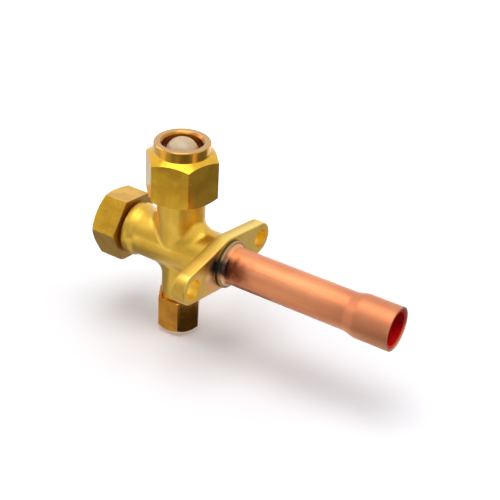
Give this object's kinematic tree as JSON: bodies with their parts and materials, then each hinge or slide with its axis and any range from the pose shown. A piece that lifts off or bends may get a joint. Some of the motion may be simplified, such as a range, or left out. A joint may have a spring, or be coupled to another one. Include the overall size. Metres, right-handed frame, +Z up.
{
  "type": "air conditioner service valve",
  "caption": "Three-way brass service valve: screwed stem under a hex cap, flare outlet with union nut, capped service port, two-eared flange and brazed copper tube.",
  "frame": {"origin": "centre of the flange's mounting face, on the barrel's axis", "axes": "+X along the copper tube, out of the mounting face; +Z up the flare neck; Y along the two bolt holes"},
  "size_m": [0.1366, 0.0624, 0.0898],
  "materials": {
    "brass": "forged, satin",
    "brass_turned": "turned, semi-bright",
    "copper": "drawn, satin",
    "braze": "dull",
    "pale_plastic": "satin",
    "red_plastic": "semi-gloss",
    "black_rubber": "matt",
    "grey_gasket": "satin",
    "spring_steel": "plain"
  },
  "bodies": {
    "valve": {"valve_body": "brass", "copper_tube": "copper", "braze_fillet": "braze", "stem_retaining_ring": "spring_steel", "core_swivel": "brass_turned", "core_barrel": "brass_turned", "core_barrel_seal": "black_rubber", "core_spring": "spring_steel"},
    "stem_seal": {"stem_o_ring": "black_rubber"},
    "stem": {"valve_stem": "brass_turned"},
    "stem_cap_washer": {"stem_cap_gasket": "grey_gasket"},
    "stem_cap": {"stem_cap": "brass_turned"},
    "flare_seal": {"flare_seal_cap": "pale_plastic"},
    "flare_nut": {"flare_nut": "brass_turned"},
    "service_cap_washer": {"service_cap_gasket": "grey_gasket"},
    "service_cap": {"service_cap": "brass_turned"},
    "core_pin": {"core_pin": "spring_steel", "core_plug_cup": "brass_turned", "core_plug_seal": "black_rubber"},
    "dust_plug": {"dust_plug": "red_plastic"}
  },
  "joints": [
    {"name": "stem_lift", "type": "slide", "parent": "valve", "child": "stem_seal", "axis": [-1, 0, 0], "range_m": [0, 0.0065]},
    {"name": "stem_turn", "type": "hinge", "parent": "stem_seal", "child": "stem", "pos_m": [0, 0, 0], "axis": [-1, 0, 0], "range_deg": [0, 2340.1]},
    {"name": "stem_cap_lift", "type": "slide", "parent": "valve", "child": "stem_cap_washer", "axis": [-1, 0, 0], "range_m": [0, 0.009]},
    {"name": "stem_cap_turn", "type": "hinge", "parent": "stem_cap_washer", "child": "stem_cap", "pos_m": [0, 0, 0], "axis": [-1, 0, 0], "range_deg": [0, 2160.1]},
    {"name": "flare_nut_lift", "type": "slide", "parent": "valve", "child": "flare_seal", "axis": [0, 0, 1], "range_m": [0, 0.01451]},
    {"name": "flare_nut_turn", "type": "hinge", "parent": "flare_seal", "child": "flare_nut", "pos_m": [-0.024, 0, 0], "axis": [0, 0, 1], "range_deg": [0, 2880.1]},
    {"name": "service_cap_lift", "type": "slide", "parent": "valve", "child": "service_cap_washer", "axis": [0, 0, -1], "range_m": [0, 0.01143]},
    {"name": "service_cap_turn", "type": "hinge", "parent": "service_cap_washer", "child": "service_cap", "pos_m": [-0.024, 0, 0], "axis": [0, 0, -1], "range_deg": [0, 3240.1]},
    {"name": "core_press", "type": "slide", "parent": "valve", "child": "core_pin", "axis": [0, 0, 1], "range_m": [0, 0.0015], "stiffness_N_per_m": 800, "springref_m": -0.002, "deforming": ["core_spring"]},
    {"name": "dust_plug_pull", "type": "slide", "parent": "valve", "child": "dust_plug", "axis": [1, 0, 0], "range_m": [0, 0.02]}
  ],
  "couplings": [
    {"joint": "stem_turn", "follows": "stem_lift", "rad_per_m": 6283.2},
    {"joint": "stem_cap_turn", "follows": "stem_cap_lift", "rad_per_m": 4188.8},
    {"joint": "flare_nut_turn", "follows": "flare_nut_lift", "rad_per_m": 3463.2},
    {"joint": "service_cap_turn", "follows": "service_cap_lift", "rad_per_m": 4947.4}
  ]
}
